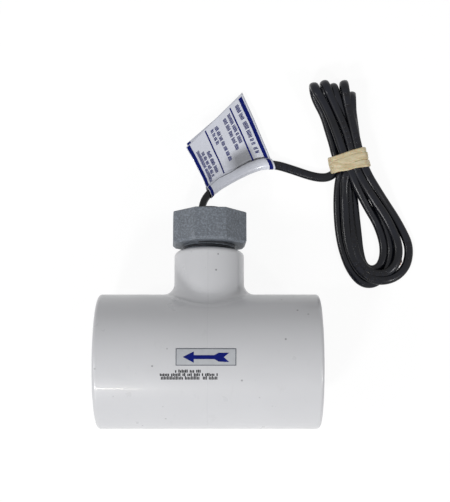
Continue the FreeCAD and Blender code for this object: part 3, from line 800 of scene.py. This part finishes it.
def band_turn():
    """A flat rubber strip along a closed path, which wanders, swells and twists a little."""
    recipe = Recipe("band_turn", {
        "Axis": (0.0, 1.0, 0.0), "Width": 0.004, "Thickness": 0.001, "Wander": 0.001, "Twist": 0.4,
        "Seed": 1.0})
    size = recipe.inputs
    path = recipe.shape("MeshToCurve", {"Mesh": size["Geometry"]})
    even = recipe.shape("ResampleCurve", {"Curve": path, "Count": 132})

    def drift(seed, scale):
        """A slow noise of -0.5 to 0.5."""
        noise = recipe.add("ShaderNodeTexNoise", {
            "W": seed, "Scale": scale, "Detail": 1.0}, noise_dimensions="4D")
        return recipe.minus(noise.outputs["Fac"], 0.5)

    aside = recipe.scaled(size["Axis"], recipe.times(drift(size["Seed"], 95.0), size["Wander"]))
    moved = recipe.shape("SetPosition", {"Geometry": even, "Offset": aside})
    facing = recipe.shape("SetCurveNormal", {"Curve": moved, "Normal": size["Axis"]}, mode="FREE")
    roll = drift(recipe.math("ADD", size["Seed"], 7.0), 130.0)
    tilted = recipe.shape("SetCurveTilt", {"Curve": facing, "Tilt": recipe.times(roll, size["Twist"])})
    strip = recipe.shape("CurvePrimitiveQuadrilateral", {
        "Width": size["Width"], "Height": size["Thickness"]})
    rounded = recipe.shape("FilletCurve", {
        "Curve": strip, "Count": 4, "Radius": recipe.times(size["Thickness"], 0.48)}, mode="POLY")
    swept = recipe.shape("CurveToMesh", {
        "Curve": tilted, "Profile Curve": rounded, "Scale": recipe.math("MULTIPLY_ADD", roll, 0.7, 1.0)})
    return recipe.finish(recipe.shape("SetShadeSmooth", {"Geometry": swept}))


def tick_row():
    """A row of plain ticks in groups, laid on a surface through its own map; earlier rows pass through."""
    recipe = Recipe("tick_row", {
        "Surface": "Object", "Start": (0.0, 0.0, 0.0), "Step": (0.0, 0.02, 0.0), "Count": 20,
        "Tick": (0.02, 0.01, 1.0), "Shortening": (0.3, 0.0, 0.0), "Group": 6, "Missing": 0.1,
        "Lift": 0.00002, "Seed": 1})
    size = recipe.inputs

    def chance(seed):
        return recipe.add("FunctionNodeRandomValue", {"Seed": seed}, data_type="FLOAT").outputs[1]

    spots = recipe.shape("MeshLine", {
        "Count": size["Count"], "Start Location": size["Start"], "Offset": size["Step"]}, mode="OFFSET")
    place_in_group = recipe.add("FunctionNodeIntegerMath", {
        0: recipe.shape("InputIndex"), 1: size["Group"]}, operation="MODULO").outputs[0]
    gap = recipe.math("LESS_THAN", place_in_group, 0.5)
    lost = recipe.math("MAXIMUM", gap, recipe.math("LESS_THAN", chance(size["Seed"]), size["Missing"]))
    kept = recipe.shape("DeleteGeometry", {"Geometry": spots, "Selection": lost}, domain="POINT")
    plate = recipe.shape("MeshGrid", {"Size X": 1.0, "Size Y": 1.0, "Vertices X": 3, "Vertices Y": 3})
    cornered = recipe.shape("Transform", {"Geometry": plate, "Translation": (0.5, 0.5, 0.0)})
    share = chance(recipe.math("ADD", size["Seed"], 3.0))
    left = recipe.vector("SUBTRACT", (1.0, 1.0, 1.0), recipe.scaled(size["Shortening"], share))
    ticks = recipe.shape("InstanceOnPoints", {
        "Points": kept, "Instance": cornered, "Scale": recipe.vector("MULTIPLY", size["Tick"], left)})
    flat = recipe.shape("RealizeInstances", {"Geometry": ticks})
    surface = recipe.add("GeometryNodeObjectInfo", {"Object": size["Surface"]}, transform_space="RELATIVE")
    own_map = recipe.shape("InputNamedAttribute", {"Name": "map"}, data_type="FLOAT_VECTOR")
    position = recipe.shape("InputPosition")

    def on_surface(value):
        return recipe.shape("SampleUVSurface", {
            "Mesh": surface.outputs["Geometry"], "Value": value, "UV Map": own_map,
            "Sample UV": position}, data_type="FLOAT_VECTOR")

    raised = recipe.scaled(on_surface(recipe.shape("InputNormal")), size["Lift"])
    spot = recipe.vector("ADD", on_surface(position), raised)
    laid = recipe.shape("SetPosition", {"Geometry": flat, "Position": spot})
    joined = recipe.add("GeometryNodeJoinGeometry")
    for source in (size["Geometry"], laid):
        recipe.tree.links.new(source, joined.inputs["Geometry"])
    return recipe.finish(joined.outputs["Geometry"])


THREAD, WIRE, BAND, TICKS = thread_turns(), swept_wire(), band_turn(), tick_row()


def surface_patch(name, surface, columns, rows):
    """A hidden sheet over a surface whose map runs from 0 to 1 each way; prints are laid on it."""
    heights = [j / rows for j in range(rows + 1)]
    vertices = [surface(i / columns, height) for height in heights for i in range(columns + 1)]
    patch = plain_mesh(name, vertices, faces=grid_faces(columns, rows))
    map_grid(patch.data, "map", columns, heights)
    return patch


def ticked(name, patch, rows, key):
    """Lays rows of ticks on a patch; each row is its start, step, count, tick size and so on."""
    obj = plain_mesh(name)
    for seed, row in enumerate(rows, 1):
        TICKS.apply(obj, key, {"Surface": patch, "Seed": seed, **row})
    settle(obj)
    bpy.data.objects.remove(patch)
    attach(obj, "root")
    return obj


# ---- exposed thread between head and branch

THREAD_LOW, THREAD_HIGH, THREAD_PITCH = 57.4, 61.6, 1.814
BRANCH_MOUTH = 58.0
THREAD_R_AT_MOUTH = 13.35
THREAD_SLOPE = 1 / 32
THREAD_RIDGE = 0.72


def thread_radius(s):
    return THREAD_R_AT_MOUTH + (s - BRANCH_MOUTH) * THREAD_SLOPE


ridge = plain_mesh("thread_ridge")
THREAD.apply(ridge, "thread", {
    "Turns": (THREAD_HIGH - THREAD_LOW) / THREAD_PITCH, "Climb": (THREAD_HIGH - THREAD_LOW) * MM,
    "Low Radius": thread_radius(THREAD_LOW) * MM, "High Radius": thread_radius(THREAD_HIGH) * MM,
    "Ridge": THREAD_RIDGE * MM})
settle(ridge)
ridge.data.transform(
    Matrix.Translation((0, AXIS_Y, RUN_R)) @ Matrix.Rotation(-math.pi / 2 - DIP, 4, "X")
    @ Matrix.Translation((0, 0, THREAD_LOW * MM)))
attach(ridge, "root")


# ---- prints on the run

def on_run(u, v, lift=0.0):
    """Spot on the run: u along it and v round it towards the branch, in millimetres."""
    angle = v / (RUN_R / MM)
    r = RUN_R / MM + lift
    return Vector((u * MM, AXIS_Y + r * math.sin(angle) * MM, RUN_R + r * math.cos(angle) * MM))


def decal(name, surface, outlines, cuts, material):
    """Flat outlines in a surface's own (u, v), cut into strips so that they bend with it, face up."""
    work = bmesh.new()
    for outline in outlines:
        work.faces.new([work.verts.new((u, v, 0)) for u, v in outline])
    for axis, places in enumerate(cuts):
        for place in places:
            spot, normal = [0, 0, 0], [0, 0, 0]
            spot[axis], normal[axis] = place, 1
            everything = work.verts[:] + work.edges[:] + work.faces[:]
            bmesh.ops.bisect_plane(work, geom=everything, plane_co=spot, plane_no=normal, dist=1e-7)
    for vertex in work.verts:
        vertex.co = surface(vertex.co.x, vertex.co.y)
    work.normal_update()
    bmesh.ops.reverse_faces(work, faces=[f for f in work.faces if f.normal.z < 0])
    mesh = bpy.data.meshes.new(name)
    work.to_mesh(mesh)
    work.free()
    obj = dress(add_object(name, mesh), material)
    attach(obj, "root")
    return obj


def rectangle(u0, v0, u1, v1):
    return [(u0, v0), (u1, v0), (u1, v1), (u0, v1)]


# Heights over the run, in millimetres: the label's face, and the prints on it
LABEL_TOP = 0.13
ARROW_LIFT = LABEL_TOP + 0.015
BORDER_LIFT = LABEL_TOP + 0.012
fine_rows = ([], [k * 0.7 for k in range(-12, 16)])

arrow = [
    (-12.5, 5.5), (-7.0, 2.65), (-7.0, 4.45), (3.1, 4.45), (5.3, 3.2), (10.5, 3.0), (7.9, 5.4), (10.5, 7.6),
    (5.3, 7.6), (3.1, 6.4), (-7.0, 6.4), (-7.0, 8.25),
]
decal("arrow_print", lambda u, v: on_run(u, v, ARROW_LIFT), [arrow], fine_rows, "navy")

(U0, U1), (V0, V1), RIM = (-15.95, 13.95), (1.27, 9.77), 0.38
border = [
    rectangle(U0, V0, U1, V0 + RIM), rectangle(U0, V1 - RIM, U1, V1),
    rectangle(U0, V0 + RIM, U0 + RIM, V1 - RIM), rectangle(U1 - RIM, V0 + RIM, U1, V1 - RIM),
]
decal("label_border", lambda u, v: on_run(u, v, BORDER_LIFT), border, fine_rows, "rim_ink")

# Near corner and size of the part of the run that carries the rows of ticks
PATCH_U, PATCH_V, PATCH_LONG, PATCH_TALL = -26.0, -6.0, 34.0, 7.0


def patch_row(u, v, length, pitch, wide, tall, group, missing):
    """A row along the run, given in millimetres."""
    return {
        "Start": ((u - PATCH_U) / PATCH_LONG, (v - PATCH_V) / PATCH_TALL, 0.0),
        "Step": (pitch / PATCH_LONG, 0.0, 0.0), "Count": int(length / pitch),
        "Tick": (wide / PATCH_LONG, tall / PATCH_TALL, 1.0), "Shortening": (0.0, 0.35, 0.0),
        "Lift": 0.00002, "Group": group, "Missing": missing}


run_patch = surface_patch(
    "run_patch", lambda s, t: on_run(PATCH_U + PATCH_LONG * s, PATCH_V + PATCH_TALL * t), 34, 14)
ticked("ink_ticks", run_patch, [patch_row(*row) for row in (
    (-17.0, -2.25, 13.6, 0.80, 0.58, 1.65, 9, 0.08),
    (-24.6, -3.95, 30.5, 0.80, 0.58, 1.60, 7, 0.08),
    (-24.0, -5.75, 29.0, 0.74, 0.50, 1.85, 40, 0.12),
)], "black_ink")


# ---- flag label on the cord

def nearest_on_cord(point, reach=0.16):
    """The spot of the cord's first stretch nearest in plan to a point."""
    best, gone = None, 0.0
    for before, after in zip(cord_line, cord_line[1:]):
        run = after - before
        gone += run.length
        if gone > reach:
            break
        share = (point.xy - before.xy).dot(run.xy) / max(run.xy.length_squared, 1e-12)
        spot = before + run * clamp(share, 0.0)
        apart = (spot.xy - point.xy).length
        if best is None or apart < best[0]:
            best = (apart, spot)
    return best[1]


FLAG_NEAR = mm(-1.7, 67.0, 14.4)
FLAG_FAR = mm(34.9, 82.2, 2.8)
FLAG_APEX = mm(17.8, 121.9, 1.9)
FLAG_LEFT = mm(-12.8, 90.3, 15.6)
# In millimetres: the film's turn round the cord, half the gap between its leaves, the height of its
# ripples, how far from the cord the leaves start to bulge, and how high its prints stand
WRAP_R, LEAF_GAP, RIPPLE, FLANK, PRINT_LIFT = 2.75, 0.35, 0.22, 3.7, 0.16
# Shares of the film's width: upper leaf, turn round the cord, lower leaf
LEAF_SHARE, ARC_SHARE = 0.46, 0.08
BACK_SHARE = 1 - LEAF_SHARE - ARC_SHARE
FILM_THICKNESS = 0.0002
FLAG_COLUMNS = 40
# Rows of a leaf, closer together where it bulges over the cord
LEAF_STATIONS = [k / 34 for k in range(30)] + [30 / 34 + (4 / 34) * k / 16 for k in range(16)]


def smoothstep(x):
    x = clamp(x, 0.0)
    return x * x * (3 - 2 * x)


def flag_surface(s, t, lift=0.0):
    """s runs along the cord; t runs down the upper leaf, round the cord and back up the lower leaf."""
    level = FLAG_NEAR.lerp(FLAG_FAR, s)
    core = nearest_on_cord(level)
    top_edge = FLAG_LEFT.lerp(FLAG_APEX, s)
    along = (FLAG_FAR - FLAG_NEAR).normalized()
    away = top_edge - core
    away -= along * away.dot(along)
    reach = away.length / MM
    away.normalize()
    normal = along.cross(away).normalized()

    def height(share, bow):
        """Leaf's height over the flag's middle plane: it presses flat, then bulges over the cord."""
        off = reach * (1 - share)
        bulge = math.sqrt(max(0.0, 1 - (off / FLANK) ** 2))
        flat = 1 - smoothstep(2 - off / FLANK)
        return LEAF_GAP + (WRAP_R - LEAF_GAP) * bulge + bow * math.sin(math.pi * share) * flat

    if t <= LEAF_SHARE:
        share = t / LEAF_SHARE
        ripple = RIPPLE * math.sin(9.0 * share + 5.0 * s) * math.sin(math.pi * share)
        bow = 1.7 - 1.0 * s - 0.9 * math.sin(math.pi * s)
        return top_edge.lerp(core, share) + normal * ((height(share, bow) + ripple + lift) * MM)
    if t <= LEAF_SHARE + ARC_SHARE:
        angle = math.pi * (t - LEAF_SHARE) / ARC_SHARE
        r = (WRAP_R + lift) * MM
        return core + normal * (r * math.cos(angle)) - away * (r * math.sin(angle))
    share = (t - LEAF_SHARE - ARC_SHARE) / BACK_SHARE
    askew = away * ((1.9 - 3.4 * s) * MM) + along * ((1.3 - 1.6 * s) * MM)
    bow = 0.9 * s - 1.3
    return core.lerp(top_edge + askew, share) - normal * ((height(1 - share, bow) + lift) * MM)


def flag_label():
    stations = [LEAF_SHARE * k for k in LEAF_STATIONS]
    stations += [LEAF_SHARE + ARC_SHARE * k / 12 for k in range(12)]
    stations += [LEAF_SHARE + ARC_SHARE + BACK_SHARE * k / 40 for k in range(41)]
    vertices = [flag_surface(i / FLAG_COLUMNS, t) for t in stations for i in range(FLAG_COLUMNS + 1)]
    obj = make_mesh("flag_label", vertices, grid_faces(FLAG_COLUMNS, len(stations) - 1))
    map_grid(obj.data, "film", FLAG_COLUMNS, stations)
    thick = obj.modifiers.new("thickness", "SOLIDIFY")
    thick.thickness = FILM_THICKNESS
    thick.offset = 0
    return obj


flag = dress(flag_label(), "vinyl")
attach(flag, "root")
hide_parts("wrap_label")


def on_leaf(u, v):
    """Print on the upper leaf: u along the cord and v from its outer edge to the fold, both from 0 to 1."""
    return flag_surface(u, v * LEAF_SHARE, PRINT_LIFT)


leaf_cuts = (
    [k / FLAG_COLUMNS for k in range(1, FLAG_COLUMNS)], LEAF_STATIONS[1:] + [1 + k / 69 for k in range(8)])
flag_stripes = decal("flag_stripes", on_leaf, [
    rectangle(0.006, 0.012, 0.056, 1.10), rectangle(0.912, 0.03, 0.968, 1.10),
    rectangle(0.313, 0.03, 0.333, 0.88), rectangle(0.747, 0.04, 0.767, 0.90),
], leaf_cuts, "navy")


def on_back_leaf(u, v):
    """Print on the lower leaf where it peeks out past the upper one: v is 1 at its outer edge."""
    return flag_surface(u, LEAF_SHARE + ARC_SHARE + v * BACK_SHARE, -PRINT_LIFT)


back_stripe = decal("back_stripe", on_back_leaf, [rectangle(0.004, 0.90, 0.060, 0.995)], leaf_cuts, "navy")


TICK_PITCH, TICK_FILL, TICK_GROWTH = 0.0185, 0.68, 1.12


def leaf_row(u, v, length, tall, group):
    """A row down the leaf; its ticks stand along the cord."""
    return {
        "Start": (u, v, 0.0), "Step": (0.0, TICK_PITCH, 0.0), "Count": int(length / TICK_PITCH),
        "Tick": (tall * TICK_GROWTH, TICK_PITCH * TICK_FILL, 1.0), "Shortening": (0.25, 0.0, 0.0),
        "Lift": 0.0, "Missing": 0.05, "Group": group}


leaf_patch = surface_patch("leaf_patch", on_leaf, 40, 60)
flag_rows = ticked("flag_rows", leaf_patch, [leaf_row(*row) for row in (
    (0.825, 0.06, 0.76, 0.056, 7),
    (0.678, 0.08, 0.50, 0.050, 10),
    (0.600, 0.09, 0.56, 0.050, 6),
    (0.452, 0.09, 0.68, 0.050, 5),
    (0.384, 0.08, 0.31, 0.048, 4),
    (0.214, 0.34, 0.46, 0.048, 8),
    (0.142, 0.28, 0.52, 0.046, 5),
    (0.085, 0.20, 0.68, 0.046, 20),
)], "navy")


# ---- rubber band round the neck

NECK = mm(76.4, 83.6, 6.2)
NECK_TURN = math.radians(14)
ACROSS = Vector((math.cos(NECK_TURN), math.sin(NECK_TURN), 0))
ALONG = Vector((-math.sin(NECK_TURN), math.cos(NECK_TURN), 0))
BUNDLE_FLATNESS = 1.8


def neck_path(middle, tilt, grow, count=96):
    """Closed line round the bundle's rounded section, in millimetres from the neck's middle."""
    half_w, half_h, corner = 9.6 + grow, 4.9 + grow, 4.2 + grow
    flat_w, flat_h = half_w - corner, half_h - corner
    spots = []
    for k in range(count):
        angle = 2 * math.pi * k / count
        c, s = math.cos(angle), math.sin(angle)
        x = corner * c + flat_w * clamp(c * BUNDLE_FLATNESS)
        z = corner * s + flat_h * clamp(s * BUNDLE_FLATNESS)
        along = middle + tilt * x / half_w
        spots.append(NECK + ACROSS * (x * MM) + ALONG * (along * MM) + Vector((0, 0, z * MM)))
    return spots


for name, middle, tilt, grow, width, thickness, wander, twist, seed in (
    ("band_wrap_a", 3.6, 0.5, 0.60, 0.0030, 0.0014, 0.0012, 0.7, 2.0),
    ("band_wrap_b", 0.6, 0.3, 0.80, 0.0044, 0.0015, 0.0016, 0.5, 5.0),
    ("band_wrap_c", -2.9, -0.5, 0.70, 0.0038, 0.0015, 0.0014, 0.6, 11.0),
):
    wrap = settle(BAND.apply(path_object(name, neck_path(middle, tilt, grow), True), "band", {
        "Axis": tuple(ALONG), "Width": width, "Thickness": thickness, "Wander": wander, "Twist": twist,
        "Seed": seed}))
    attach(wrap, "root")
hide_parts("rubber_band")


# ---- bare conductors at the free end

CONDUCTOR, STRANDS = 0.0017, 0.0006
for name, key, diameter, slot_name, node, points in (
    ("red_conductor", "red", CONDUCTOR, "red_insulation", "wire_end_red",
     [(104.4, 34.0, 2.2), (105.0, 31.4, 2.2), (105.4, 29.4, 2.3), (105.4, 27.9, 2.4)]),
    ("black_conductor", "black", CONDUCTOR, "black_insulation", "wire_end_black",
     [(103.8, 34.0, 1.8), (104.4, 30.4, 1.7), (104.2, 27.2, 1.8), (103.4, 24.8, 2.0)]),
    ("red_strands", "copper", STRANDS, None, None,
     [(105.4, 28.2, 2.4), (105.4, 27.6, 2.4), (105.3, 27.0, 2.5), (105.1, 26.6, 2.5)]),
    ("black_strands", "copper", STRANDS, None, None,
     [(103.5, 25.1, 2.0), (103.3, 24.6, 2.1), (103.0, 24.1, 2.2), (102.8, 23.7, 2.3)]),
):
    line = nurbs_points(name + "_line", [mm(*point) for point in points], 6)
    piece = settle(WIRE.apply(path_object(name, line), key, {"Diameter": diameter}))
    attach(piece, "root")
    if node:
        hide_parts(node)


# ---- floor, light and background

def shown_white(nodes):
    """1 where a surface is seen by the camera, in a reflection or through glass."""
    path = nodes.add("ShaderNodeLightPath").outputs
    seen = nodes.math("MAXIMUM", path["Is Camera Ray"], path["Is Glossy Ray"])
    return nodes.math("MAXIMUM", seen, path["Is Transmission Ray"])


FLOOR_SHARE_WHITE = 0.88
FLOOR_GLOW = 1.04
FLOOR_DROP = 0.00005
AMBIENT = 0.33


def make_floor():
    corners = [(-2, -2, 0), (2, -2, 0), (2, 2, 0), (-2, 2, 0)]
    floor = make_mesh("floor", corners, [(0, 1, 2, 3)])
    floor.location.z = -FLOOR_DROP
    material = bpy.data.materials.new("floor")
    material.use_nodes = True
    nodes = Nodes(material.node_tree)
    shader = material.node_tree.nodes["Principled BSDF"]
    nodes.feed(shader.inputs["Base Color"], (0.93, 0.93, 0.93))
    nodes.feed(shader.inputs["Roughness"], 0.9)
    glow = nodes.add("ShaderNodeEmission", {"Strength": FLOOR_GLOW})
    share = nodes.times(shown_white(nodes), FLOOR_SHARE_WHITE)
    mixed = nodes.add("ShaderNodeMixShader", {0: share, 1: shader.outputs[0], 2: glow.outputs[0]})
    nodes.feed(material.node_tree.nodes["Material Output"].inputs["Surface"], mixed.outputs[0])
    floor.data.materials.append(material)


def area_light(name, place, aim, size, power, tint=(1, 1, 1)):
    data = bpy.data.lights.new(name, "AREA")
    data.shape = "RECTANGLE"
    data.size, data.size_y = size
    data.energy = power
    data.color = tint
    lamp = add_object(name, data)
    lamp.location = place
    lamp.rotation_euler = (Vector(aim) - Vector(place)).to_track_quat("-Z", "Y").to_euler()


make_floor()
area_light("key_softbox", (-0.43, -0.73, 0.87), (0.03, 0.03, 0.02), (0.18, 0.18), 5.6)
area_light("side_softbox", (0.72, -0.38, 0.70), (0.02, 0.03, 0.02), (0.11, 0.11), 2.3)
area_light("left_strip", (-0.66, -0.06, 0.76), (0.06, 0.07, 0.0), (0.08, 0.24), 1.9)
area_light("strip_light", (-0.20, -0.89, 1.05), (-0.03, -0.04, 0.05), (0.10, 0.02), 0.5, (1.0, 0.93, 0.80))

world = bpy.data.worlds.new("studio")
scene.world = world
world.use_nodes = True
sky = Nodes(world.node_tree)
background = world.node_tree.nodes["Background"]
sky.feed(background.inputs["Color"], (1, 1, 1))
sky.feed(background.inputs["Strength"], sky.math("MULTIPLY_ADD", shown_white(sky), 1.0 - AMBIENT, AMBIENT))
